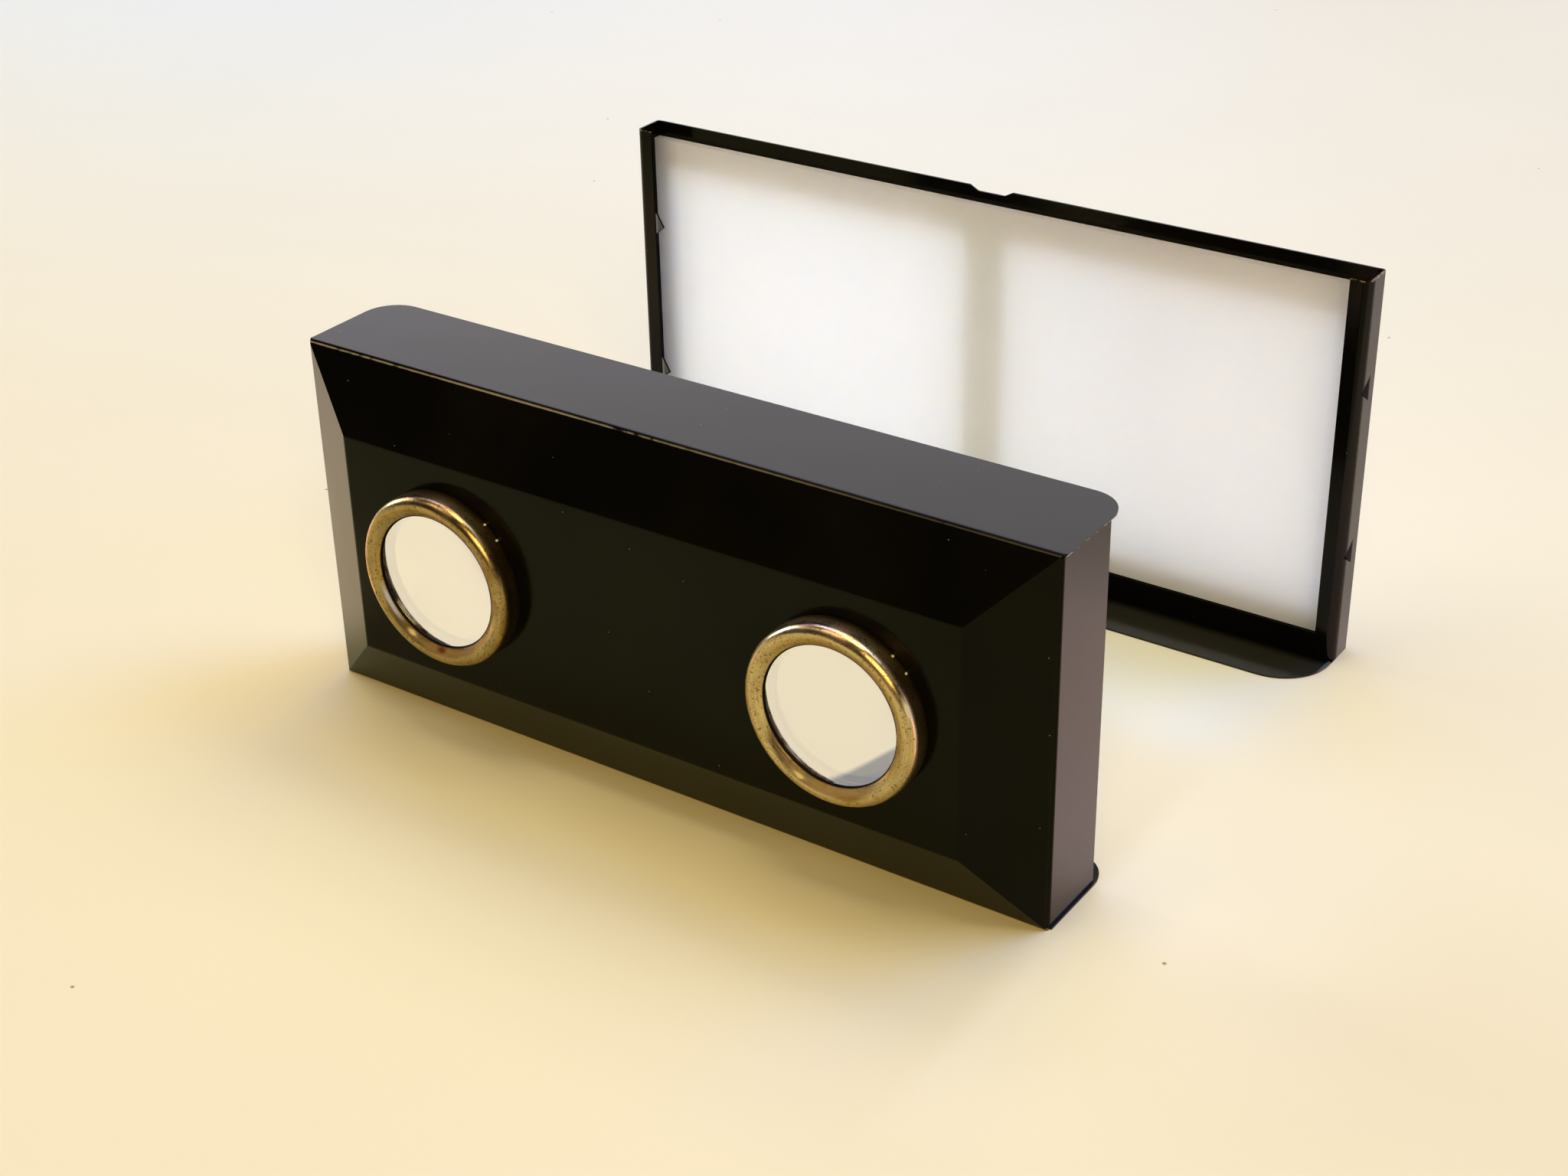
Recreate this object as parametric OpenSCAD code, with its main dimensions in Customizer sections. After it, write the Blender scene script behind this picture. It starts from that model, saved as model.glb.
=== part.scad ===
// Pocket stereoscope in two free-standing halves of folded tinplate:
// an eyepiece box with two brass-rimmed lenses, and a holder for a 60 x 130 mm stereo picture.
// X runs to the right, Y from the eyes towards the picture, Z up. Both halves stand on Z = 0.

/* [Picture and viewing] */
// Width of the stereo picture that the holder takes
picture_w = 130; // [110:1:150]
// Height of the stereo picture
picture_h = 60; // [52:1:70]
// Distance from the fold line of the eyepiece box to the front flanges of the holder
view_distance = 84.3; // [70:0.1:110]
// Focal length that the lenses are ground to
lens_focus = 93; // [70:1:120]

/* [Sheet metal] */
// Thickness of the tinplate
sheet = 0.3; // [0.2:0.05:0.5]
// Inside radius of a sharp fold
fold_r = 0.35; // [0.2:0.05:0.6]
// Inside radius of a soft bend
bend_r = 0.8; // [0.4:0.1:1.4]

/* [Eyepiece box] */
// Height of the eyepiece box
box_h = 56.2; // [52:0.2:60]
// Depth of the top and bottom panels behind the fold line
panel_depth = 17.8; // [15:0.1:22]
// Depth of the two end walls behind the fold line
end_depth = 12.6; // [9:0.1:14]
// Radius of the free corners of the top and bottom panels
panel_corner_r = 5.2; // [3:0.2:7]
// How far the sloping border of the pressed front runs in from the edge
bevel_run = 10.6; // [8:0.2:12]
// How far the pressed front stands out before the fold line
bevel_rise = 5.6; // [4:0.2:7]
// How far the top and bottom panels reach past the end walls
panel_overhang = 0.3; // [0.1:0.05:0.6]
// Open seam between an end wall and the top panel
seam_gap = 0.15; // [0.05:0.05:0.5]
// Closer seam between an end wall and the bottom panel that it stands on
low_seam_gap = 0.05; // [0.05:0.05:0.5]
// Length of the solder tab inside each seam
tab_length = 6; // [4:0.5:7]
// Width of the solder tab
tab_width = 3; // [2:0.5:5]

/* [Eyepieces] */
// Outer diameter of a brass rim
rim_d = 26.6; // [24:0.2:28]
// Width of the rim's rounded front
rim_land = 3.1; // [2.6:0.1:3.8]
// Distance from a rim to the end of the flat of the raised front
rim_inset = 4.75; // [3.4:0.05:8]
// How far a rim stands out of the front panel
rim_rise = 3.7; // [3:0.1:5]
// Thickness of the brass
brass = 0.5; // [0.4:0.05:0.6]
// Length of the turned-in lip that the lens lies against
rim_lip = 0.6; // [0.3:0.1:1]
// Radial clearance of the rim on its cell, of the cell in the panel and of the lens in the cell
seat_gap = 0.05; // [0.02:0.01:0.1]
// Thickness of a lens at its edge
lens_edge = 1.4; // [1:0.1:1.8]
// Width of the flange that holds the cell behind the panel
cell_flange = 1.8; // [1.2:0.1:2.4]
// Thickness of the wire of the split ring behind the lens
spring_wire = 0.7; // [0.5:0.05:0.9]
// How far the cell reaches past the split ring
cell_margin = 0.2; // [0.1:0.05:0.6]
// Gap in the split ring
spring_gap = 2; // [1:0.5:4]

/* [Picture holder] */
// Depth of the holder's channel from front flange to back
channel_depth = 6.2; // [5.8:0.1:8]
// Width of the front flanges at the two sides
flange_w = 3.1; // [2.4:0.1:4]
// Clearance between the flanges and the eyepiece box, which nests between them
nest_gap = 0.2; // [0.05:0.05:0.5]
// Clearance of the picture at each side of the channel
picture_gap = 0.7; // [0.3:0.1:1]
// How far the back plate reaches above the picture
top_margin = 3.1; // [2:0.1:5]
// Height of the standing fold between the flanges, from the table
ridge_h = 4.7; // [3:0.1:5]
// Depth of the lip in front of the flanges
lip_depth = 9.2; // [8.8:0.1:12]
// Inside radius of the folds between the side walls and the front flanges
front_fold_r = 0.9; // [0.3:0.05:1.2]
// Radius of the lip's front corners
lip_corner_r = 8.5; // [4:0.5:9]
// Height of the two windows in the back plate
window_h = 51; // [44:0.5:52]
// Width of each window
window_w = 59.4; // [48:0.2:59.6]
// Width of the bar between the windows
window_bar = 7; // [5:0.5:10]
// Height of the windows' lower edge over the floor
window_sill = 5; // [4.5:0.5:7]
// Corner radius of the windows
window_r = 1.5; // [0.5:0.5:4]
// Width of the thumb notch at its mouth
notch_mouth = 7.8; // [6:0.2:12]
// Width of the thumb notch at its bottom
notch_bottom = 4.8; // [3:0.2:6]
// Depth of the thumb notch
notch_depth = 0.8; // [0.5:0.1:1.6]

/* [Lanced tabs] */
// Length of a tab's root, up and down the side wall
tab_root = 4.4; // [3:0.1:5]
// Length of a tab from its root to its point
tab_reach = 3.2; // [2.4:0.1:3.4]
// Angle that a tab is bent in from the wall
tab_bend = 63; // [50:1:75]
// Height of the lower tabs over the floor
tab_low = 17.9; // [12:0.1:22]
// Height of the upper tabs over the floor
tab_high = 45.2; // [38:0.1:50]

/* [Diffusing glass] */
// Height of the opal glass
glass_h = 60.5; // [52:0.5:62]
// Thickness of the opal glass
glass_t = 1.5; // [0.9:0.1:1.7]
// Clearance of the glass at each side
glass_side_gap = 0.2; // [0.15:0.05:0.6]
// Clearance between the glass and the back plate
glass_back_gap = 0.1; // [0.05:0.05:0.2]
// Clearance between the glass and the tabs
glass_front_gap = 0.2; // [0.1:0.05:0.4]

/* [Hidden] */

// Fine circles
$fn = 96;
// Cuts run this far past the faces that they cut
past = 1;

// The holder's outside follows the picture, and the box follows the opening between the flanges
holder_w = picture_w + 2 * (picture_gap + sheet);
holder_h = sheet + picture_h + top_margin;
box_w = holder_w - 2 * (flange_w + nest_gap);
tray_w = box_w - 2 * panel_overhang;
lens_spacing = tray_w - 2 * (bevel_run + rim_inset) - rim_d;
lens_z = box_h / 2;

// Rim, cell and lens, as radii and as places along Y
roll_r = rim_land / 2;
rim_r = rim_d / 2;
crown_r = rim_r - roll_r;
rim_front = -bevel_rise - rim_rise;
crown_y = rim_front + roll_r;
lip_end = crown_y + rim_lip;
cell_r = rim_r - brass - seat_gap;
cell_bore = cell_r - brass;
panel_hole_r = cell_r + seat_gap;
panel_back = -bevel_rise + sheet;
lens_r = cell_bore - seat_gap;
glass_index = 1.523;
lens_curve = lens_focus * (glass_index - 1);
lip_r = crown_r - roll_r;
lens_sag = lens_curve - sqrt(pow(lens_curve, 2) - pow(lens_r, 2));
lip_sag = lens_curve - sqrt(pow(lens_curve, 2) - pow(lip_r, 2));
lens_vertex = lip_end - lip_sag;
lens_back = lens_vertex + lens_sag + lens_edge;
cell_end = lens_back + spring_wire + cell_margin;

// Places across the holder's channel, from the plane of its front flanges
back_face = channel_depth - sheet;
glass_y = back_face - glass_back_gap - glass_t;
tab_root_y = glass_y - glass_front_gap;
glass_w = holder_w - 2 * (sheet + glass_side_gap);

// The origin lies at the middle of the whole object's box
mid_y = (rim_front + view_distance + channel_depth) / 2;

// Points of an arc of radius r that rounds the corner b between a and c
function unit(v) = v / norm(v);
function corner_arc(a, b, c, r) =
    let (u = unit(a - b), v = unit(c - b), half = acos(u * v) / 2,
         reach = r / tan(half), centre = b + unit(u + v) * r / sin(half),
         from = b + u * reach - centre, to = b + v * reach - centre,
         turn = atan2(from.x * to.y - from.y * to.x, from * to), steps = ceil(3 * sqrt(r) + 2))
    [for (i = [0 : steps])
        let (t = turn * i / steps)
        centre + [from.x * cos(t) - from.y * sin(t), from.x * sin(t) + from.y * cos(t)]];

// An open or closed line of points with each corner rounded by its own radius
function rounded(points, radii) =
    [for (i = [0 : len(points) - 1])
        let (n = len(points))
        each (radii[i] <= 0 ? [points[i]] :
            corner_arc(points[(i + n - 1) % n], points[i], points[(i + 1) % n], radii[i]))];

// Section of the pressed front: a tray of the given width, moved in by inset for its inner face.
// The slope keeps its angle, so the metal has the same thickness everywhere.
function tray_section(width, depth, inset, edge_r) =
    let (slope = norm([bevel_run, bevel_rise]),
         edge_x = width / 2 - inset, edge_y = inset * (slope - bevel_rise) / bevel_run,
         land_x = width / 2 - bevel_run - inset * (slope - bevel_run) / bevel_rise,
         land_y = -bevel_rise + inset, outer = sheet - inset)
    rounded([[-edge_x, depth], [-edge_x, edge_y], [-land_x, land_y],
             [land_x, land_y], [edge_x, edge_y], [edge_x, depth]],
            [0, edge_r + outer, bend_r + outer, bend_r + outer, edge_r + outer, 0]);

// Extrudes a section drawn in X and Y upwards, over the given heights
module upright(low, high) {
    translate([0, 0, low]) linear_extrude(high - low) children();
}

// Extrudes a section drawn as (height, Y) along X, centred
module lengthwise(length) {
    translate([length / 2, 0, 0]) rotate([0, -90, 0]) linear_extrude(length) children();
}

module tray_body(inset, depth) {
    intersection() {
        upright(inset, box_h - inset) polygon(tray_section(tray_w, depth, inset, bend_r));
        lengthwise(box_w) translate([box_h / 2, 0]) polygon(tray_section(box_h, depth, inset, fold_r));
    }
}

// Top or bottom panel: square at the fold, rounded at its two free corners
module panel_outline() {
    x = box_w / 2;
    y = sheet + fold_r;
    polygon(rounded([[-x, y], [x, y], [x, panel_depth], [-x, panel_depth]],
                    [0, 0, panel_corner_r, panel_corner_r]));
}

// Seams over and under an end wall, each as the height of the panel's inner face, the way into the
// box from there and the width of the open seam
seams = [[sheet, 1, low_seam_gap], [box_h - sheet, -1, seam_gap]];

// Solder tab: folded in from the edge of an end wall, flat against the panel
module solder_tab(side, seam) {
    width = tab_width + sheet;
    height = sheet + seam[2];
    translate([side * (tray_w - width) / 2, end_depth / 2, seam[0] + seam[1] * height / 2])
        cube([width, tab_length, height], center = true);
}

module front_shell() color("#2b2723") translate([0, -mid_y, 0]) {
    difference() {
        union() {
            difference() {
                tray_body(0, end_depth);
                tray_body(sheet, end_depth + past);
            }
            for (low = [0, box_h - sheet]) upright(low, low + sheet) panel_outline();
        }
        // Open seams over and under the end walls
        for (side = [-1, 1], seam = seams)
            translate([side * tray_w / 2, (end_depth + past) / 2, seam[0] + seam[1] * seam[2] / 2])
                cube([2 * sheet + past, end_depth + past, seam[2]], center = true);
        // Holes for the lens cells
        for (side = [-1, 1])
            at_eye(side) translate([0, 0, -bevel_rise - past])
                cylinder(r = panel_hole_r, h = sheet + 2 * past);
    }
    for (side = [-1, 1], seam = seams) solder_tab(side, seam);
}

// Turns a shape about Z so that its axis runs along Y through the middle of one eyepiece
module at_eye(side) {
    translate([side * lens_spacing / 2, 0, lens_z]) rotate([-90, 0, 0]) children();
}

// Rim: drawn brass cap with a rounded crown, a straight wall to the panel and a turned-in lip
module eyepiece_rim(side) color("#a98645") translate([0, -mid_y, 0]) at_eye(side) rotate_extrude() {
    difference() {
        translate([crown_r, crown_y]) circle(roll_r);
        translate([crown_r, crown_y]) circle(roll_r - brass);
        translate([crown_r - roll_r - past, crown_y]) square([rim_land + 2 * past, roll_r + past]);
    }
    translate([rim_r - brass, crown_y]) square([brass, -bevel_rise - crown_y]);
    translate([crown_r - roll_r, crown_y]) square([brass, rim_lip]);
}

// Cell: flanged brass tube pushed through the panel from behind into the rim
module lens_cell(side) color("#8d7440") translate([0, -mid_y, 0]) at_eye(side)
    rotate_extrude() polygon([
        [cell_bore, crown_y], [cell_r, crown_y], [cell_r, panel_back],
        [cell_r + cell_flange, panel_back], [cell_r + cell_flange, panel_back + brass],
        [cell_r, panel_back + brass], [cell_r, cell_end], [cell_bore, cell_end]
    ]);

// Lens: flat towards the picture, domed towards the eye
module lens(side) color("#dfe8e4", 0.4) translate([0, -mid_y, 0]) at_eye(side)
    intersection() {
        translate([0, 0, lens_vertex]) cylinder(r = lens_r, h = lens_back - lens_vertex);
        translate([0, 0, lens_vertex + lens_curve]) rotate([90, 0, 0]) sphere(lens_curve, $fn = 240);
    }

// Split ring of round wire that holds the lens in its cell
module lens_spring(side) color("#6f6a60") translate([0, -mid_y, 0]) at_eye(side)
    translate([0, 0, lens_back + spring_wire / 2]) difference() {
        rotate_extrude() translate([cell_bore - spring_wire / 2, 0]) circle(d = spring_wire, $fn = 24);
        translate([-spring_gap / 2, 0, -spring_wire]) cube([spring_gap, cell_bore + past, 2 * spring_wire]);
    }

// Plan section of the holder: back plate, two side walls and two front flanges in one sheet
function channel_side(inset) =
    let (x = holder_w / 2 - inset, outer = sheet - inset)
    rounded([[-x, inset], [-x, channel_depth - inset], [x, channel_depth - inset], [x, inset]],
            [front_fold_r + outer, fold_r + outer, fold_r + outer, front_fold_r + outer]);

module channel_section() {
    opening = holder_w / 2 - flange_w;
    difference() {
        polygon(channel_side(0));
        polygon(channel_side(sheet));
        translate([-opening, -past]) square([2 * opening, sheet + 2 * past]);
    }
}

// Floor plate with the lip in front: its front corners are round
module floor_outline() {
    x = holder_w / 2;
    r = fold_r + sheet;
    polygon(rounded([[-x, -lip_depth], [x, -lip_depth], [x, channel_depth], [-x, channel_depth]],
                    [lip_corner_r, lip_corner_r, r, r]));
}

// Standing fold: the floor sheet doubled up into a low rail between the flanges
module standing_fold() {
    lengthwise(holder_w - 2 * flange_w) {
        square([ridge_h - sheet, 2 * sheet]);
        translate([ridge_h - sheet, sheet]) circle(sheet, $fn = 24);
    }
}

// Side view of the sheet metal: the floor bends up into the back plate
module side_outline() {
    polygon(rounded([[0, -lip_depth], [0, channel_depth], [holder_h, channel_depth],
                     [holder_h, -lip_depth]],
                    [0, fold_r + sheet, 0, 0]));
}

module window_hole(side) {
    x = side * (window_bar + window_w) / 2;
    z = sheet + window_sill + window_h / 2;
    translate([x, channel_depth + past, z]) rotate([90, 0, 0])
        linear_extrude(sheet + 2 * past) {
            square([window_w, window_h - 2 * window_r], center = true);
            square([window_w - 2 * window_r, window_h], center = true);
            for (i = [-1, 1], j = [-1, 1])
                translate([i * (window_w / 2 - window_r), j * (window_h / 2 - window_r)])
                    circle(window_r, $fn = 32);
        }
}

module thumb_notch() {
    translate([0, channel_depth + past, holder_h]) rotate([90, 0, 0]) linear_extrude(sheet + 2 * past)
        polygon(rounded([[-notch_mouth / 2 - past, past], [-notch_mouth / 2, 0],
                         [-notch_bottom / 2, -notch_depth], [notch_bottom / 2, -notch_depth],
                         [notch_mouth / 2, 0], [notch_mouth / 2 + past, past]],
                        [0, 0, notch_depth, notch_depth, 0, 0]));
}

// Triangle that a tab is cut to, drawn from its root in the plane of the wall
module tab_outline() {
    polygon([[0, -tab_root / 2], [0, tab_root / 2], [-tab_reach, 0]]);
}

// A tab's place: its root line on the inner face of one side wall
module at_tab(side, height) {
    mirror([side < 0 ? 1 : 0, 0, 0])
        translate([holder_w / 2 - sheet, tab_root_y, sheet + height]) children();
}

module tab_cut() {
    translate([-sheet, 0, 0]) rotate([90, 0, 90]) linear_extrude(3 * sheet) tab_outline();
}

module bent_tab() {
    rotate([0, 0, -tab_bend]) rotate([90, 0, 90]) linear_extrude(sheet) tab_outline();
    intersection() {
        translate([0, 0, -tab_root / 2]) cylinder(r = sheet, h = tab_root, $fn = 32);
        translate([0, -2 * sheet, -tab_root / 2]) cube([2 * sheet, 3 * sheet, tab_root]);
    }
}

module holder_frame() color("#26221f") translate([0, view_distance - mid_y, 0]) {
    difference() {
        intersection() {
            union() {
                upright(0, holder_h) channel_section();
                upright(0, sheet) floor_outline();
                standing_fold();
            }
            lengthwise(holder_w) side_outline();
        }
        for (side = [-1, 1]) {
            window_hole(side);
            for (height = [tab_low, tab_high]) at_tab(side, height) tab_cut();
        }
        thumb_notch();
    }
    for (side = [-1, 1], height = [tab_low, tab_high]) at_tab(side, height) bent_tab();
}

module diffuser_glass() color("#eceae6") translate([-glass_w / 2, view_distance - mid_y + glass_y, sheet])
    cube([glass_w, glass_t, glass_h]);

front_shell();
eyepiece_rim(-1);  // left_eyepiece_rim
eyepiece_rim(1);  // right_eyepiece_rim
lens_cell(-1);  // left_lens_cell
lens_cell(1);  // right_lens_cell
lens(-1);  // left_lens
lens(1);  // right_lens
lens_spring(-1);  // left_lens_spring
lens_spring(1);  // right_lens_spring
holder_frame();
diffuser_glass();
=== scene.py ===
import math

import bmesh
import bpy
from mathutils import Matrix, Vector


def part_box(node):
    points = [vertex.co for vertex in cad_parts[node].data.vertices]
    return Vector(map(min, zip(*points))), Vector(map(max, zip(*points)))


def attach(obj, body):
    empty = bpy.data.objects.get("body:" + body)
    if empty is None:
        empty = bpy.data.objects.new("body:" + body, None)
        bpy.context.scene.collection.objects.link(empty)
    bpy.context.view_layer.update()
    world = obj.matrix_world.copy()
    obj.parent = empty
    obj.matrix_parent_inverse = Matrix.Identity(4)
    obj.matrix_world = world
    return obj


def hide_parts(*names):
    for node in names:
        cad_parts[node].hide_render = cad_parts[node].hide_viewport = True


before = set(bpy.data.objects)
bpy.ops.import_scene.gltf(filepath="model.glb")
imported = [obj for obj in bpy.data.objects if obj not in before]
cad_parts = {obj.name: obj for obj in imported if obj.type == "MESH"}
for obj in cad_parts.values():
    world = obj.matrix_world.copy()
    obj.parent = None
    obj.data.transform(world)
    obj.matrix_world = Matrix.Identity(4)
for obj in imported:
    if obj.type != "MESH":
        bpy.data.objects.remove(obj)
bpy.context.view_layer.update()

# Front shell of the eyepiece box: one blank of 0.3 mm tinplate, pressed to a raised front with
# four sloping borders, folded round and soldered inside. It is japanned black, and the lacquer
# is rubbed through to brown tin along the folds that hands and the case touch. The line along the
# top front fold and the lines along the top edges of the ends are partly painted highlights.
X, Y, Z = 0, 1, 2
shell_low, shell_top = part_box("front_shell")
BORDER_RISE = 0.0056
FOLD_LINE = shell_low.y + BORDER_RISE
LACQUER = (0.0022, 0.0019, 0.0015)
THIN_LACQUER = (0.0042, 0.0036, 0.0029)
LACQUER_GLANCE = (0.52, 0.50, 0.44)
LACQUER_IOR = 1.30
LACQUER_ROUGHNESS = (0.11, 0.17)
WAVE_HEIGHT = 0.0003
WAVES_PER_METRE = 60.0
PEEL_HEIGHT = 0.00005
PEEL_PER_METRE = 1500.0
DUST_GRAIN = (0.22, 0.21, 0.19)
DUST_FILM = (0.022, 0.021, 0.018)
GRAINS_PER_METRE = 260.0
GRAIN_RADIUS = 0.00011
FILM_TOP = 0.0020
FILM_BOTTOM = 0.0012
LINE_FADES_FROM = -0.020
LINE_FADES_TO = 0.038


def give(tree, socket, value):
    """Links the value to the socket, or sets it there where it is a number or a colour."""
    if isinstance(value, bpy.types.NodeSocket):
        tree.links.new(value, socket)
    else:
        socket.default_value = (*value, 1.0) if socket.type == "RGBA" else value


def add(tree, kind, **values):
    """A node of the given kind. A value named like an input, with _ for a space, goes to that
    input. Any other value is a setting of the node."""
    node = tree.nodes.new(kind)
    for name, value in values.items():
        socket = node.inputs.get(name.replace("_", " "))
        if socket is None:
            setattr(node, name, value)
        else:
            give(tree, socket, value)
    return node


def split(tree, vector):
    """The vector's three numbers."""
    return add(tree, "ShaderNodeSeparateXYZ", Vector=vector).outputs


def new_material(name):
    """A material, its empty tree, and the place on the piece in the piece's own coordinates."""
    material = bpy.data.materials.new(name)
    material.use_nodes = True
    tree = material.node_tree
    tree.nodes.clear()
    return material, tree, tree.nodes.new("ShaderNodeTexCoord").outputs["Object"]


def coat(tree, shader):
    """Makes the shader's result the surface of the material."""
    add(tree, "ShaderNodeOutputMaterial", Surface=shader.outputs[0])


def dress(names, material):
    """Gives the material to the CAD nodes with these names."""
    for name in names:
        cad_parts[name].material_slots[0].material = material


def calc(tree, operation, a, b=0.0):
    """The result of one sum. Each value is a number or a socket."""
    node = add(tree, "ShaderNodeMath", operation=operation)
    for socket, value in zip(node.inputs, (a, b)):
        give(tree, socket, value)
    return node.outputs[0]


def times(tree, *values):
    """The product of the values."""
    product = values[0]
    for value in values[1:]:
        product = calc(tree, "MULTIPLY", product, value)
    return product


def blended(tree, factor, a, b):
    """Colour a where the factor is 0, and b where it is 1."""
    node = add(tree, "ShaderNodeMix", data_type="RGBA", clamp_factor=True, Factor=factor)
    for name, value in (("A", a), ("B", b)):
        give(tree, [s for s in node.inputs if s.name == name and s.type == "RGBA"][0], value)
    return [s for s in node.outputs if s.type == "RGBA"][0]


def scaled(tree, value, start, end, to_start=0.0, to_end=1.0):
    """The value's place between start and end, as a clamped number between the two others."""
    node = add(tree, "ShaderNodeMapRange", Value=value, From_Min=start, From_Max=end,
               To_Min=to_start, To_Max=to_end)
    return node.outputs["Result"]


def clouds(tree, place, scale, detail, low, high):
    """Cloudy patches between 0 and 1, about 1 / scale wide."""
    noise = add(tree, "ShaderNodeTexNoise", Vector=place, Scale=scale, Detail=detail)
    return scaled(tree, noise.outputs["Fac"], low, high)


def near(tree, value, centre, width):
    """1 where the value is at the centre, falling to 0 at that width to either side."""
    away = calc(tree, "ABSOLUTE", calc(tree, "SUBTRACT", value, centre))
    return scaled(tree, away, width, 0.0)


def specks(tree, place, scale, radius):
    """Sparse round grains of at most the given radius, cut by the surface at random heights."""
    cells = add(tree, "ShaderNodeTexVoronoi", Vector=place, Scale=scale)
    return scaled(tree, cells.outputs["Distance"], radius * scale, 0.6 * radius * scale)


def relief(tree, height, strength, distance, under=None):
    """The surface's tilt from a height, where 1 stands for the given distance in metres."""
    bump = add(tree, "ShaderNodeBump", Height=height, Strength=strength, Distance=distance)
    if under is not None:
        tree.links.new(under, bump.inputs["Normal"])
    return bump.outputs["Normal"]


def ripple(tree, place, scale, detail):
    """Plain noise, as a height."""
    return add(tree, "ShaderNodeTexNoise", Vector=place, Scale=scale, Detail=detail).outputs["Fac"]


def wear_and_highlight_line(tree, axes, patches, fold):
    """The line along a fold where the lacquer is gone, with any painted highlight on it. Its
    right_end is the share of the line that is left at the right end."""
    (axis_a, at_a), (axis_b, at_b) = fold["at"]
    line = times(tree, near(tree, axes[axis_a], at_a, fold["width"]),
                 near(tree, axes[axis_b], at_b, fold["width"]))
    rubbed = scaled(tree, times(tree, line, patches), *fold["rubbed"])
    left_over = fold.get("right_end", 1.0)
    return times(tree, rubbed, scaled(tree, axes[X], LINE_FADES_FROM, LINE_FADES_TO, 1.0, left_over))


def turned_over(tree, bends, axes):
    """The height that a sheet loses where it turns over, for bends of (distance
    behind the fold, width)."""
    height = None
    for distance, width in bends:
        short = scaled(tree, distance(tree, axes), 0.0, width, width, 0.0)
        fall = times(tree, short, short, -0.5 / width)
        height = fall if height is None else calc(tree, "ADD", height, fall)
    return height


def japan_black(name, folds, bends, film_along_y=None):
    """Stoved black lacquer on tin, rubbed through at the folds with painted highlights on some,
    softly bent there and dusty on low faces.
    """
    material, tree, place = new_material(name)
    axes = split(tree, place)
    cloud = clouds(tree, place, 45.0, 5.0, 0.35, 0.65)
    fine = clouds(tree, place, 900.0, 3.0, 0.35, 0.65)
    colour = blended(tree, cloud, LACQUER, THIN_LACQUER)
    for fold in folds:
        wear_and_highlight = wear_and_highlight_line(tree, axes, calc(tree, "ADD", cloud, fine), fold)
        colour = blended(tree, wear_and_highlight, colour, fold["metal"])
    grains = specks(tree, place, GRAINS_PER_METRE, GRAIN_RADIUS)
    colour = blended(tree, times(tree, grains, 0.8), colour, DUST_GRAIN)
    if film_along_y:
        film = times(tree, scaled(tree, axes[Y], *film_along_y),
                     scaled(tree, axes[Z], FILM_TOP, FILM_BOTTOM))
        colour = blended(tree, film, colour, DUST_FILM)
    bent = relief(tree, turned_over(tree, bends, axes), 1.0, 1.0)
    wavy = relief(tree, ripple(tree, place, WAVES_PER_METRE, 1.0), 0.15, WAVE_HEIGHT, bent)
    skin = relief(tree, ripple(tree, place, PEEL_PER_METRE, 2.0), 0.10, PEEL_HEIGHT, wavy)
    rough = scaled(tree, clouds(tree, place, 130.0, 6.0, 0.3, 0.7), 0.0, 1.0, *LACQUER_ROUGHNESS)
    coat(tree, add(tree, "ShaderNodeBsdfPrincipled", Base_Color=colour, Roughness=rough, IOR=LACQUER_IOR,
                   Specular_Tint=LACQUER_GLANCE, Normal=skin))
    return material


def behind_fold_line(tree, axes):
    """How far a place lies behind the fold between the sloping border and the sides."""
    return calc(tree, "SUBTRACT", axes[Y], FOLD_LINE)


BRONZE_TIN_AND_HIGHLIGHT = (0.27, 0.222, 0.165)
BROWN_TIN = (0.20, 0.125, 0.06)
BRIGHT_TIN_AND_HIGHLIGHT = (0.42, 0.42, 0.52)
# The top front fold shows bronze tin and a painted highlight, which fades to the right.
box_folds = [
    dict(at=((Y, FOLD_LINE - 0.00003), (Z, shell_top.z - 0.0001)), width=0.00019, metal=BRONZE_TIN_AND_HIGHLIGHT,
         rubbed=(0.02, 0.30), right_end=0.16),
    dict(at=((Y, FOLD_LINE + 0.0001), (Z, 0.0001)), width=0.0004, metal=BROWN_TIN, rubbed=(0.12, 0.55))]
# Along the top edge of each end: bright tin and a bluish painted highlight.
for end in (shell_top.x, shell_low.x):
    box_folds.append(dict(at=((X, end), (Z, shell_top.z - 0.0004)), width=0.00045, metal=BRIGHT_TIN_AND_HIGHLIGHT,
                          rubbed=(0.55, 0.80)))
FOLD_TURN = 0.0008
dress(["front_shell"], japan_black("worn_japan_lacquer_box", box_folds, [(behind_fold_line, FOLD_TURN)]))

# Lens cells: drawn brass tubes with a flange, pushed through the panel from behind. They were
# blackened against stray light, and are dull and brown by now.
CELL_BRASS = (0.12, 0.085, 0.045)
CELL_BROWN = (0.06, 0.042, 0.024)
CELL_SPOTS = (0.10, 0.055, 0.02)
CELL_ROUGHNESS = (0.40, 0.60)
material, tree, place = new_material("dull_cell_brass")
cloud = clouds(tree, place, 160.0, 5.0, 0.35, 0.65)
spots = clouds(tree, place, 2200.0, 3.0, 0.45, 0.62)
colour = blended(tree, cloud, CELL_BRASS, CELL_BROWN)
colour = blended(tree, times(tree, spots, 0.5), colour, CELL_SPOTS)
coat(tree, add(tree, "ShaderNodeBsdfPrincipled", Metallic=1.0, Base_Color=colour,
               Roughness=scaled(tree, cloud, 0.0, 1.0, *CELL_ROUGHNESS),
               Normal=relief(tree, ripple(tree, place, 1800.0, 3.0), 0.12, 0.00005)))
dress(["left_lens_cell", "right_lens_cell"], material)

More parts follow.
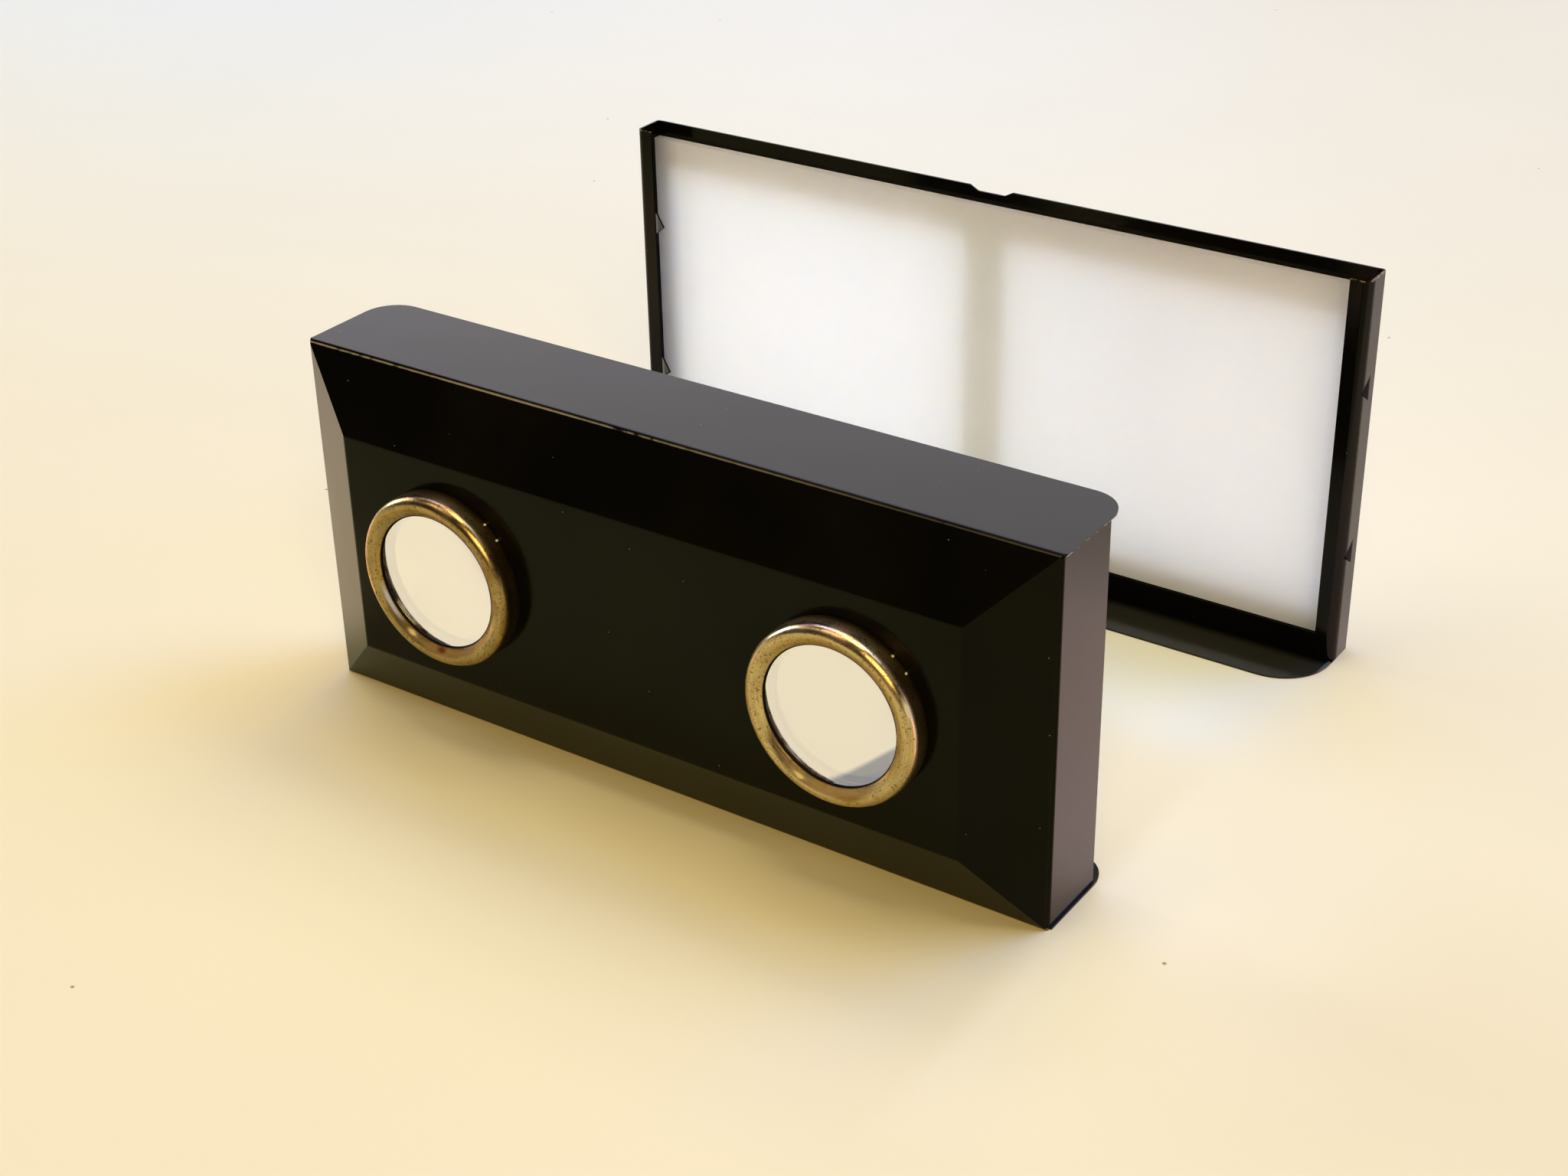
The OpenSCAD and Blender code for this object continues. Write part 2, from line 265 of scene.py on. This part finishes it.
# Lenses: plano-convex crown glass, ground round and polished, domed towards the eye. Fingers
# have left a faint smear in places.
CROWN_GLASS = (1.0, 0.995, 0.985)
CROWN_GLASS_IOR = 1.523
SMEAR_ROUGHNESS = 0.03
material, tree, place = new_material("clear_crown_glass")
smear = clouds(tree, place, 300.0, 6.0, 0.55, 0.75)
coat(tree, add(tree, "ShaderNodeBsdfPrincipled", Base_Color=CROWN_GLASS, Transmission_Weight=1.0,
               IOR=CROWN_GLASS_IOR, Roughness=scaled(tree, smear, 0.0, 1.0, 0.0, SMEAR_ROUGHNESS)))
dress(["left_lens", "right_lens"], material)

# Lens springs: split rings of drawn steel wire, snapped into the cells behind the lenses. They
# are stained brown in patches.
STEEL_WIRE = (0.40, 0.38, 0.35)
WIRE_STAIN = (0.16, 0.11, 0.07)
WIRE_ROUGHNESS = 0.38
material, tree, place = new_material("drawn_wire")
stain = clouds(tree, place, 700.0, 4.0, 0.4, 0.6)
coat(tree, add(tree, "ShaderNodeBsdfPrincipled", Metallic=1.0, Roughness=WIRE_ROUGHNESS,
               Base_Color=blended(tree, stain, STEEL_WIRE, WIRE_STAIN)))
dress(["left_lens_spring", "right_lens_spring"], material)

# Eyepiece rims: drawn brass caps, pressed over the cells. A rim turns in from a tight shoulder to
# the lens in a low slope. It is rubbed bright in streaks round the crown, and still has some of
# its old nickel. The straight wall is painted brown to black towards its foot and on its right
# side: painted shade over some brown tarnish.
RIM_WALL_METAL = 0.0005
RIM_SLOPE_METAL = 0.00047
RIM_WALL_FRONT = 0.0022
SHOULDER_RUN = 0.00125
SHOULDER_DEPTH = 0.00135
SHOULDER_STEPS = 12
SLOPE_RUN = 0.0017
SLOPE_DEPTH = 0.00085
SLOPE_POWER = 1.6
SLOPE_STEPS = 14
LIP_POINTS = [(0.00303, 0.00096), (0.00308, 0.00108), (0.00305, 0.00121), (0.00292, 0.00130)]
OLD_NICKEL = (0.60, 0.52, 0.40)
RIM_PITS = (0.05, 0.03, 0.015)
WALL_SHADE_BROWN = (0.030, 0.018, 0.008)
GLINT_WHITE = (0.9, 0.9, 0.9)
GLINT_TURNS = (0.91, 0.70)
GLINT_SPREAD = 0.016
GLINT_DEPTH = 0.0034
GLINT_WIDTH = 0.0003
RIM_ROUGHNESS = (0.16, 0.40)
SHADED_LIP_BLACK = (0.012, 0.009, 0.007)
SHADED_LIP_FROM = 0.01052
SHADED_LIP_TO = 0.01038
STREAKS_PER_METRE = 5200.0
STREAKS_PER_TURN = 3.5
CROWN_MARK_DEPTHS = (0.0015, 0.0011)
WALL_SHADE_DEPTHS = (0.0011, 0.0034)
RIGHT_SHADE_DEPTHS = (0.0008, 0.0016)
STEPS_AROUND = 200
STEPS_ALONG = 150
UNEVENNESS = 0.00005
SEAM = 0.000002


def rim_section(radius, front, foot):
    """The closed section of a rim, as (radius, place along Y). It is drawn as (distance in from
    the outside, distance behind the front)."""
    def shoulder(k, metal_in, metal_down):
        turn = k * math.pi / 2 / SHOULDER_STEPS
        return (SHOULDER_RUN - (SHOULDER_RUN - metal_in) * math.cos(turn),
                SHOULDER_DEPTH - (SHOULDER_DEPTH - metal_down) * math.sin(turn))

    def slope(k, metal_down):
        share = k / SLOPE_STEPS
        return SHOULDER_RUN + SLOPE_RUN * share, metal_down + SLOPE_DEPTH * share ** SLOPE_POWER

    outside = [(0.0, foot - front), (0.0, RIM_WALL_FRONT)]
    outside += [shoulder(k, 0.0, 0.0) for k in range(SHOULDER_STEPS + 1)]
    outside += [slope(k, 0.0) for k in range(1, SLOPE_STEPS + 1)]
    inside = [slope(k, RIM_SLOPE_METAL) for k in range(SLOPE_STEPS - 1, -1, -1)]
    inside += [shoulder(k, RIM_WALL_METAL, RIM_SLOPE_METAL) for k in range(SHOULDER_STEPS - 1, -1, -1)]
    inside += [(RIM_WALL_METAL, foot - front)]
    return [(radius - a, front + b) for a, b in outside + LIP_POINTS + inside]


def turned_ring_tree():
    """Turns a closed section round an axis along Y, with the slight unevenness of hand work."""
    tree = bpy.data.node_groups.new("turned_ring", "GeometryNodeTree")
    for name, kind in (("Section", "Geometry"), ("Axis", "Vector"), ("Steps around", "Int"),
                       ("Steps along", "Int"), ("Unevenness", "Float"), ("Metal", "Material")):
        tree.interface.new_socket(name, in_out="INPUT", socket_type="NodeSocket" + kind)
    tree.interface.new_socket("Ring", in_out="OUTPUT", socket_type="NodeSocketGeometry")
    given = tree.nodes.new("NodeGroupInput").outputs
    section = add(tree, "GeometryNodeMeshToCurve", Mesh=given["Section"])
    grid = add(tree, "GeometryNodeMeshGrid", Size_X=1.0, Size_Y=1.0,
               Vertices_X=calc(tree, "ADD", given["Steps around"], 1),
               Vertices_Y=calc(tree, "ADD", given["Steps along"], 1))
    at = split(tree, tree.nodes.new("GeometryNodeInputPosition").outputs[0])
    turn = times(tree, calc(tree, "ADD", at[X], 0.5), 2 * math.pi)
    sample = add(tree, "GeometryNodeSampleCurve", Curves=section.outputs["Curve"],
                 Factor=calc(tree, "ADD", at[Y], 0.5))
    point = split(tree, sample.outputs["Position"])
    cosine, sine = calc(tree, "COSINE", turn), calc(tree, "SINE", turn)
    round_way = add(tree, "ShaderNodeCombineXYZ", X=cosine, Y=sine).outputs[0]
    waves = calc(tree, "SUBTRACT", ripple(tree, round_way, 2.2, 2.0), 0.5)
    reach = calc(tree, "ADD", point[X], times(tree, waves, given["Unevenness"]))
    place = add(tree, "ShaderNodeCombineXYZ", X=times(tree, reach, cosine), Y=point[Y],
                Z=times(tree, reach, sine))
    moved = add(tree, "ShaderNodeVectorMath", operation="ADD")
    tree.links.new(place.outputs[0], moved.inputs[0])
    tree.links.new(given["Axis"], moved.inputs[1])
    ring = add(tree, "GeometryNodeSetPosition", Geometry=grid.outputs["Mesh"], Position=moved.outputs[0])
    closed = add(tree, "GeometryNodeMergeByDistance", Geometry=ring.outputs[0], Distance=SEAM)
    smooth = add(tree, "GeometryNodeSetShadeSmooth", Geometry=closed.outputs[0])
    real = add(tree, "GeometryNodeRealizeInstances", Geometry=smooth.outputs[0])
    metal = add(tree, "GeometryNodeSetMaterial", Geometry=real.outputs[0], Material=given["Metal"])
    tree.links.new(metal.outputs[0], tree.nodes.new("NodeGroupOutput").inputs[0])
    return tree


def one_less(tree, value):
    """What the value lacks of 1."""
    return calc(tree, "SUBTRACT", 1.0, value)


def rim_brass(name, axis, front, look):
    """Old rim brass, streaked round the given axis, with the marks of one rim, some of them
    painted highlights.
    """
    material, tree, place = new_material(name)
    at = split(tree, place)
    x, z = calc(tree, "SUBTRACT", at[X], axis.x), calc(tree, "SUBTRACT", at[Z], axis.z)
    depth = calc(tree, "SUBTRACT", at[Y], front)
    turn = calc(tree, "ARCTAN2", z, x)
    radius = calc(tree, "POWER", calc(tree, "ADD", times(tree, x, x), times(tree, z, z)), 0.5)
    cosine, sine = calc(tree, "COSINE", turn), calc(tree, "SINE", turn)
    across = times(tree, radius, STREAKS_PER_METRE)
    lengthwise = add(tree, "ShaderNodeCombineXYZ",
                     X=calc(tree, "ADD", across, times(tree, cosine, STREAKS_PER_TURN)),
                     Y=times(tree, sine, STREAKS_PER_TURN),
                     Z=times(tree, depth, STREAKS_PER_METRE)).outputs[0]
    streaks = clouds(tree, lengthwise, 1.0, 3.0, 0.35, 0.65)
    broad = clouds(tree, lengthwise, 0.33, 2.0, 0.42, 0.60)
    stains = clouds(tree, place, 260.0, 4.0, 0.42, 0.62)
    pits = clouds(tree, place, 3000.0, 2.0, 0.58, 0.68)
    colour = blended(tree, stains, look["light"], look["dark"])
    colour = blended(tree, times(tree, streaks, 0.40), colour, tuple(0.5 * v for v in look["dark"]))
    colour = blended(tree, times(tree, broad, look["nickel"]), colour, OLD_NICKEL)
    colour = blended(tree, times(tree, pits, 0.7), colour, RIM_PITS)
    # Painted shade over some brown tarnish: the wall darkens towards its foot, and on its right side from
    # nearer the front
    away = times(tree, scaled(tree, cosine, 0.1, 0.7), scaled(tree, depth, *RIGHT_SHADE_DEPTHS))
    wall_shade_and_tarnish = calc(tree, "MAXIMUM", times(tree, scaled(tree, depth, *WALL_SHADE_DEPTHS), 0.93),
                  times(tree, away, 0.85))
    colour = blended(tree, wall_shade_and_tarnish, colour, WALL_SHADE_BROWN)
    # Marks on the crown, and two painted glints, white points at the foot of the wall
    blots = scaled(tree, clouds(tree, place, 500.0, 2.0, 0.30, 0.60), 0.0, 1.0, 0.6, 1.0)
    dull = None
    for mark in look["marks"]:
        spot = times(tree, near(tree, turn, mark["turn"], mark["spread"]),
                     near(tree, radius, mark["radius"], mark["width"]), blots)
        spot = times(tree, scaled(tree, spot, 0.0, 0.5), scaled(tree, depth, *CROWN_MARK_DEPTHS))
        colour = blended(tree, spot, colour, mark["colour"])
        spot = times(tree, spot, mark["dull"])
        dull = spot if dull is None else calc(tree, "MAXIMUM", dull, spot)
    for at_turn in GLINT_TURNS:
        glint = times(tree, near(tree, turn, at_turn, GLINT_SPREAD),
                      near(tree, depth, GLINT_DEPTH, GLINT_WIDTH))
        glint = scaled(tree, glint, 0.0, 0.3)
        colour = blended(tree, glint, colour, GLINT_WHITE)
        dull = calc(tree, "MAXIMUM", dull, glint)
    # The lip that the lens lies against is painted black, as painted shade
    lip = scaled(tree, radius, SHADED_LIP_FROM, SHADED_LIP_TO)
    colour = blended(tree, lip, colour, SHADED_LIP_BLACK)
    dull = times(tree, dull, one_less(tree, lip))
    rough = scaled(tree, times(tree, calc(tree, "ADD", stains, streaks), 0.5), 0.0, 1.0, *RIM_ROUGHNESS)
    rough = calc(tree, "ADD", rough, times(tree, calc(tree, "MAXIMUM", wall_shade_and_tarnish, lip), 0.25))
    scratched = relief(tree, streaks, 0.08, 0.00003)
    skin = relief(tree, ripple(tree, place, 380.0, 1.0), 0.25, 0.00010, scratched)
    coat(tree, add(tree, "ShaderNodeBsdfPrincipled", Base_Color=colour, Metallic=one_less(tree, dull),
                   Roughness=rough, Normal=skin))
    return material


def turned_rim(side, look):
    """A rim in place of the CAD node on that side, turned from its section and made a mesh."""
    low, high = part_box(side + "_eyepiece_rim")
    axis = (low + high) / 2
    section = rim_section((high.x - low.x) / 2, low.y, high.y)
    outline = bpy.data.meshes.new(side + "_rim_section")
    count = len(section)
    outline.from_pydata([(r, y, 0.0) for r, y in section], [(k, (k + 1) % count) for k in range(count)], [])
    rim = bpy.data.objects.new(side + "_rim", outline)
    bpy.context.scene.collection.objects.link(rim)
    turning = rim.modifiers.new("turning", "NODES")
    turning.node_group = ring_tree
    values = {"Axis": (axis.x, 0.0, axis.z), "Steps around": STEPS_AROUND, "Steps along": STEPS_ALONG,
              "Unevenness": UNEVENNESS, "Metal": rim_brass(side + "_rim_brass", axis, low.y, look)}
    for item in ring_tree.interface.items_tree:
        if item.in_out == "INPUT" and item.name in values:
            turning[item.identifier] = values[item.name]
    turned = bpy.data.meshes.new_from_object(rim.evaluated_get(bpy.context.evaluated_depsgraph_get()))
    rim.modifiers.remove(turning)
    rim.data = turned
    shell = bmesh.new()
    shell.from_mesh(turned)
    bmesh.ops.recalc_face_normals(shell, faces=shell.faces)
    shell.to_mesh(turned)
    shell.free()
    return rim


# Where a mark lies on a rim is given as its turn from the right, anticlockwise and in radians.
# The bluish-white patch and the gold and white marks are painted highlights.
rim_looks = {
    "left": dict(light=(0.66, 0.41, 0.18), dark=(0.49, 0.29, 0.12), nickel=0.30, marks=[
        dict(turn=-1.45, spread=0.95, radius=0.0110, width=0.0010, colour=(0.40, 0.26, 0.11), dull=0.75),
        dict(turn=-1.54, spread=0.10, radius=0.0109, width=0.0006, colour=(0.20, 0.05, 0.03), dull=0.3),
        dict(turn=-2.56, spread=0.36, radius=0.0107, width=0.0005, colour=(0.60, 0.64, 0.95), dull=0.9),
        dict(turn=-2.06, spread=0.12, radius=0.0109, width=0.0005, colour=(0.95, 0.75, 0.42), dull=0.9)]),
    "right": dict(light=(0.99, 0.70, 0.44), dark=(0.92, 0.58, 0.33), nickel=0.25, marks=[
        dict(turn=-1.45, spread=0.95, radius=0.0110, width=0.0010, colour=(0.50, 0.35, 0.17), dull=0.75),
        dict(turn=0.42, spread=0.16, radius=0.0131, width=0.00025, colour=(0.90, 0.88, 0.85), dull=0.9),
        dict(turn=-1.98, spread=0.14, radius=0.0112, width=0.0004, colour=(0.98, 0.80, 0.42), dull=0.9),
        dict(turn=-1.24, spread=0.30, radius=0.0116, width=0.0007, colour=(0.45, 0.26, 0.10), dull=0.0)])}
ring_tree = turned_ring_tree()
for side, look in rim_looks.items():
    rim = turned_rim(side, look)
    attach(rim, "eyepiece_half")
    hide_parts(side + "_eyepiece_rim")

# Picture holder: one blank of tinplate folded to a channel with two windows in its back, a
# standing fold and a lip in front, and four tabs lanced in from the side walls.
holder_low, holder_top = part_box("holder_frame")
LIP_DEPTH = 0.0092
FLANGE_FRONT = holder_low.y + LIP_DEPTH
BARE_EDGE = (0.30, 0.19, 0.10)
EDGE_WIDTH = 0.0005
FLANGE_TURN = 0.0022
SIDE_TURN = 0.0012
DUSTY_LIP = (holder_low.y + 0.0088, holder_low.y + 0.0070)


def behind_flanges(tree, axes):
    """How far a place lies behind the front of the side flanges."""
    return calc(tree, "SUBTRACT", axes[Y], FLANGE_FRONT)


def in_from_sides(tree, axes):
    """How far a place lies in from the nearer side wall."""
    return calc(tree, "SUBTRACT", holder_top.x, calc(tree, "ABSOLUTE", axes[X]))


holder_folds = [dict(at=((Y, FLANGE_FRONT + 0.0001), (Z, holder_top.z)), width=EDGE_WIDTH,
                     metal=BARE_EDGE, rubbed=(0.45, 0.85))]
for end in (holder_top.x, holder_low.x):
    holder_folds.append(dict(at=((X, end), (Z, holder_top.z)), width=EDGE_WIDTH, metal=BARE_EDGE,
                             rubbed=(0.55, 0.95)))
holder_bends = [(behind_flanges, FLANGE_TURN), (in_from_sides, SIDE_TURN)]
dress(["holder_frame"], japan_black("worn_japan_lacquer_holder", holder_folds, holder_bends, DUSTY_LIP))

# Diffusing pane: thin opal glass, loose in the channel. It is lit through the two windows
# behind it, and glows evenly with a soft shade over the bar and the borders. Shade and tints
# along its borders and a greyer right side are painted into its colour, as painted light.
pane_low, pane_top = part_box("diffuser_glass")
LIGHT_SPREAD = 0.026
OPAL_ROUGHNESS = 0.55
MILK_WHITE = (0.850, 0.900, 0.995)
MILK_SHADE = (0.835, 0.885, 0.980)
RIGHT_SHADE_GREY = (0.725, 0.750, 0.805)
GREYER_FROM = -0.015
GREYER_TO = 0.030
# Painted shade along the sides and the top, and painted light along the bottom: the axis, the edge, the
# width, the strength and the colour
painted_border_tones = (
    (X, pane_top.x, 0.0060, 0.50, (0.38, 0.28, 0.18)),
    (X, pane_low.x, 0.0050, 0.55, (0.26, 0.29, 0.55)),
    (Z, pane_top.z, 0.0090, 0.22, (0.72, 0.46, 0.46)),
    (Z, pane_low.z, 0.0080, 0.60, (0.97, 0.90, 0.80)))
material, tree, place = new_material("opal_glass_pane")
axes = split(tree, place)
milk = blended(tree, clouds(tree, place, 25.0, 3.0, 0.3, 0.7), MILK_WHITE, MILK_SHADE)
# Painted shade: the right side is greyer
milk = blended(tree, scaled(tree, axes[X], GREYER_FROM, GREYER_TO), milk, RIGHT_SHADE_GREY)
for axis, edge, width, strength, shade in painted_border_tones:
    milk = blended(tree, times(tree, near(tree, axes[axis], edge, width), strength), milk, shade)
coat(tree, add(tree, "ShaderNodeBsdfPrincipled", subsurface_method="BURLEY", Base_Color=milk,
               Subsurface_Weight=1.0, Subsurface_Radius=(1.0, 1.0, 1.0), Subsurface_Scale=LIGHT_SPREAD,
               Roughness=OPAL_ROUGHNESS))
dress(["diffuser_glass"], material)

# Table: a large sheet of pale cream paper, painted cooler towards the window behind and warmer
# to the right, as painted light. Polished things see it with a painted sheen: bright on the left
# and behind, and dull in front. Far away it goes over into the pale wall.
CREAM = (0.915, 0.795, 0.600)
COOL_LEFT = (0.835, 0.855, 0.895)
COOL_MIDDLE = (0.895, 0.860, 0.825)
WARM_RIGHT = (0.870, 0.790, 0.670)
BETWEEN_HALVES = (0.910, 0.890, 0.850)
BESIDE_BOX = (1.0, 0.900, 0.755)
TABLE_SPECK = (0.10, 0.08, 0.05)
DULL_FRONT = (0.545, 0.538, 0.282)
PAINTED_SHADOW_GREY = (0.39, 0.365, 0.360)
LEFT_SHEEN = (0.60, 0.38, 0.24)
RIGHT_SHEEN = (0.90, 0.55, 0.61)
BLACK = (0.0, 0.0, 0.0)
LENS_GLOW = (0.13, 0.085, 0.030)
WALL_TONE = (0.90, 0.87, 0.82)
SHEET_SIDE = 3.0
SHEET_FRONT = 3.0
SHEET_BACK = 4.0
FAR_FROM = 0.60
FAR_TO = 1.20
BACK_FROM = -0.12
BACK_TO = 0.35
LEFT_TO_RIGHT = (0.82, 0.57)
COOL_ENDS = (-0.21, 0.0)
WARM_ENDS = (0.0, 0.20)
CORNER_WAY = (0.8526, 0.5226)
CORNER_ENDS = (0.00495, 0.00530)
DULL_ENDS = (-0.010, -0.060)
# Soft edges of the patches of tone: the axis, and the outer and the inner end along it
BETWEEN_EDGES = ((Y, 0.0, 0.018), (Y, 0.050, 0.032), (X, 0.0, 0.03), (X, 0.075, 0.050))
BESIDE_EDGES = ((X, 0.060, 0.066), (X, 0.115, 0.066), (Y, -0.095, -0.045), (Y, 0.020, -0.030))
CORNER_EDGES = ((X, 0.026, 0.020), (Y, -0.0050, -0.0080))
LEFT_SHEEN_EDGES = ((X, -0.066, -0.085), (Y, -0.100, -0.060), (X, -0.300, -0.200), (Y, 0.0, -0.030))
RIGHT_SHEEN_EDGES = ((X, 0.058, 0.066), (Y, -0.050, -0.020))
RIGHT_SHEEN_FADES = (0.030, 0.070)


def ramp(tree, value, start, end):
    """0 at the start, 1 at the end, with a smooth rise between."""
    rise = add(tree, "ShaderNodeMapRange", interpolation_type="SMOOTHSTEP", Value=value,
               From_Min=start, From_Max=end)
    return rise.outputs["Result"]


def patch(tree, axes, edges):
    """1 inside all the soft edges, and 0 outside them."""
    return times(tree, *(ramp(tree, axes[axis], outer, inner) for axis, outer, inner in edges))


def along(tree, axes, way):
    """The place along a level direction, given by its parts along X and Y."""
    return calc(tree, "ADD", times(tree, axes[X], way[X]), times(tree, axes[Y], way[Y]))


def either(tree, factor, a, b):
    """Shader a where the factor is 0, and b where it is 1."""
    node = tree.nodes.new("ShaderNodeMixShader")
    for socket, value in zip(node.inputs, (factor, a.outputs[0], b.outputs[0])):
        give(tree, socket, value)
    return node


paper = bpy.data.meshes.new("table_paper")
paper.from_pydata([(-SHEET_SIDE, -SHEET_FRONT, 0), (SHEET_SIDE, -SHEET_FRONT, 0),
                   (SHEET_SIDE, SHEET_BACK, 0), (-SHEET_SIDE, SHEET_BACK, 0)], [], [(0, 1, 2, 3)])
table = bpy.data.objects.new("table", paper)
bpy.context.scene.collection.objects.link(table)
material, tree, place = new_material("cream_paper")
axes = split(tree, place)
# Painted light: the tone behind the object changes from left to right, as seen from the camera
aside = along(tree, axes, LEFT_TO_RIGHT)
back_tone = blended(tree, ramp(tree, aside, *COOL_ENDS), COOL_LEFT, COOL_MIDDLE)
back_tone = blended(tree, ramp(tree, aside, *WARM_ENDS), back_tone, WARM_RIGHT)
tone = blended(tree, ramp(tree, axes[Y], BACK_FROM, BACK_TO), CREAM, back_tone)
# Painted light: the paper is lighter and cooler between the halves, and lighter beside the box where its
# shadow falls
tone = blended(tree, patch(tree, axes, BETWEEN_EDGES), tone, BETWEEN_HALVES)
tone = blended(tree, patch(tree, axes, BESIDE_EDGES), tone, BESIDE_BOX)
tone = blended(tree, times(tree, clouds(tree, place, 14.0, 4.0, 0.3, 0.7), 0.015), tone, BLACK)
tone = blended(tree, times(tree, specks(tree, place, 55.0, 0.00035), 0.7), tone, TABLE_SPECK)
ray = tree.nodes.new("ShaderNodeLightPath").outputs
through = ray["Is Transmission Ray"]
mirrored = times(tree, ray["Is Glossy Ray"], one_less(tree, through))
# Painted shade in reflections: polished things see the paper in front duller
tone = blended(tree, times(tree, mirrored, ramp(tree, axes[Y], *DULL_ENDS)), tone, DULL_FRONT)
# A painted shadow: the grey wedge that shows through the right lens
shadow_corner = times(tree, ramp(tree, along(tree, axes, CORNER_WAY), *CORNER_ENDS),
               patch(tree, axes, CORNER_EDGES))
tone = blended(tree, times(tree, through, shadow_corner), tone, PAINTED_SHADOW_GREY)
# Painted sheen: polished things see the paper glow on the left and beside the right end
fading = times(tree, ramp(tree, axes[Y], *RIGHT_SHEEN_FADES), 0.8)
right_shine = times(tree, patch(tree, axes, RIGHT_SHEEN_EDGES), one_less(tree, fading))
sheen = blended(tree, right_shine, BLACK, RIGHT_SHEEN)
sheen = blended(tree, patch(tree, axes, LEFT_SHEEN_EDGES), sheen, LEFT_SHEEN)
# Painted light: the paper glows with the sheen for mirrored rays, and a little through the lenses
lit = add(tree, "ShaderNodeBsdfDiffuse", Color=tone)
for colour, strength in ((sheen, mirrored), (LENS_GLOW, times(tree, through, one_less(tree, shadow_corner)))):
    shine = add(tree, "ShaderNodeEmission", Color=colour, Strength=strength)
    both = tree.nodes.new("ShaderNodeAddShader")
    tree.links.new(lit.outputs[0], both.inputs[0])
    tree.links.new(shine.outputs[0], both.inputs[1])
    lit = both
length = add(tree, "ShaderNodeVectorMath", operation="LENGTH", Vector=place).outputs["Value"]
far = times(tree, ray["Is Camera Ray"], ramp(tree, length, FAR_FROM, FAR_TO))
coat(tree, either(tree, far, lit, add(tree, "ShaderNodeEmission", Color=WALL_TONE)))
paper.materials.append(material)

# Light: soft square panels round the table. Cool daylight comes from behind and low from the
# left, and the warm light of the room from above and from the right. Each panel has its bearing
# and height in degrees, and its colour.
PANEL_SIDE = 0.6
PANEL_POWER = 10.0
PANEL_DISTANCE = 1.4
panels = {
    "window_left": (-45, 58, (0.21, 0.26, 0.50)),
    "window_middle": (0, 58, (0.46, 0.38, 0.12)),
    "window_right": (45, 58, (0.27, 0.42, 0.62)),
    "window_low": (36, 38, (0.05, 0.12, 0.50)),
    "side_window": (270, 18, (0.60, 0.67, 0.70)),
    "ceiling": (0, 90, (0.50, 0.46, 0.24)),
    "desk_lamp": (144, 38, (0.80, 0.60, 0.20)),
    "room_lamp": (225, 58, (0.18, 0.15, 0.10))}
for name, (bearing, height, colour) in panels.items():
    data = bpy.data.lights.new(name, "AREA")
    data.shape = "SQUARE"
    data.size = PANEL_SIDE
    data.energy = PANEL_POWER
    data.color = colour
    panel = bpy.data.objects.new(name, data)
    turn, rise = math.radians(bearing), math.radians(height)
    way = Vector((math.sin(turn) * math.cos(rise), math.cos(turn) * math.cos(rise), math.sin(rise)))
    panel.location = PANEL_DISTANCE * way
    panel.rotation_euler = (-way).to_track_quat("-Z", "Y").to_euler()
    bpy.context.scene.collection.objects.link(panel)

# World: dull things get no light from it. The camera sees a pale wall, and polished things see
# a bright window side behind and a dark room in front.
DARK_ROOM = (0.03, 0.026, 0.02)
WINDOW_SIDE = (1.70, 1.64, 1.72)
world = bpy.data.worlds.new("room")
bpy.context.scene.world = world
world.use_nodes = True
tree = world.node_tree
tree.nodes.clear()
towards = split(tree, tree.nodes.new("ShaderNodeTexCoord").outputs["Generated"])
seen = blended(tree, scaled(tree, towards[Y], 0.1, 0.6), DARK_ROOM, WINDOW_SIDE)
ray = tree.nodes.new("ShaderNodeLightPath").outputs
room = add(tree, "ShaderNodeBackground", Color=BLACK)
for kind_of_ray, colour in (("Is Glossy Ray", seen), ("Is Camera Ray", WALL_TONE)):
    room = either(tree, ray[kind_of_ray], room, add(tree, "ShaderNodeBackground", Color=colour))
add(tree, "ShaderNodeOutputWorld", Surface=room.outputs[0])

# Camera: hand-held to the right of the object and above it, turned by about a degree. It
# stands where the corners of both halves fall as they do in the photograph.
AZIMUTH, ELEVATION, ROLL = math.radians(34.81), math.radians(28.924), math.radians(1.160)
CAMERA_PLACE = Vector((0.18477, -0.27580, 0.19787))
SENSOR_WIDTH_MM = 36.0
FOCAL_LENGTH_MM = 56.745
back = Vector((math.sin(AZIMUTH) * math.cos(ELEVATION), -math.cos(AZIMUTH) * math.cos(ELEVATION),
               math.sin(ELEVATION)))
right = (-back).cross(Vector((0, 0, 1))).normalized()
down = (-back).cross(right)
across = math.cos(ROLL) * right + math.sin(ROLL) * down
up = math.sin(ROLL) * right - math.cos(ROLL) * down
camera_data = bpy.data.cameras.new("camera")
camera_data.sensor_width = SENSOR_WIDTH_MM
camera_data.lens = FOCAL_LENGTH_MM
camera_data.clip_start = 0.01
camera = bpy.data.objects.new("camera", camera_data)
stand = Matrix((across, up, back)).transposed().to_4x4()
stand.translation = CAMERA_PLACE
camera.matrix_world = stand
bpy.context.scene.collection.objects.link(camera)
bpy.context.scene.camera = camera
bpy.context.scene.view_settings.view_transform = "Standard"
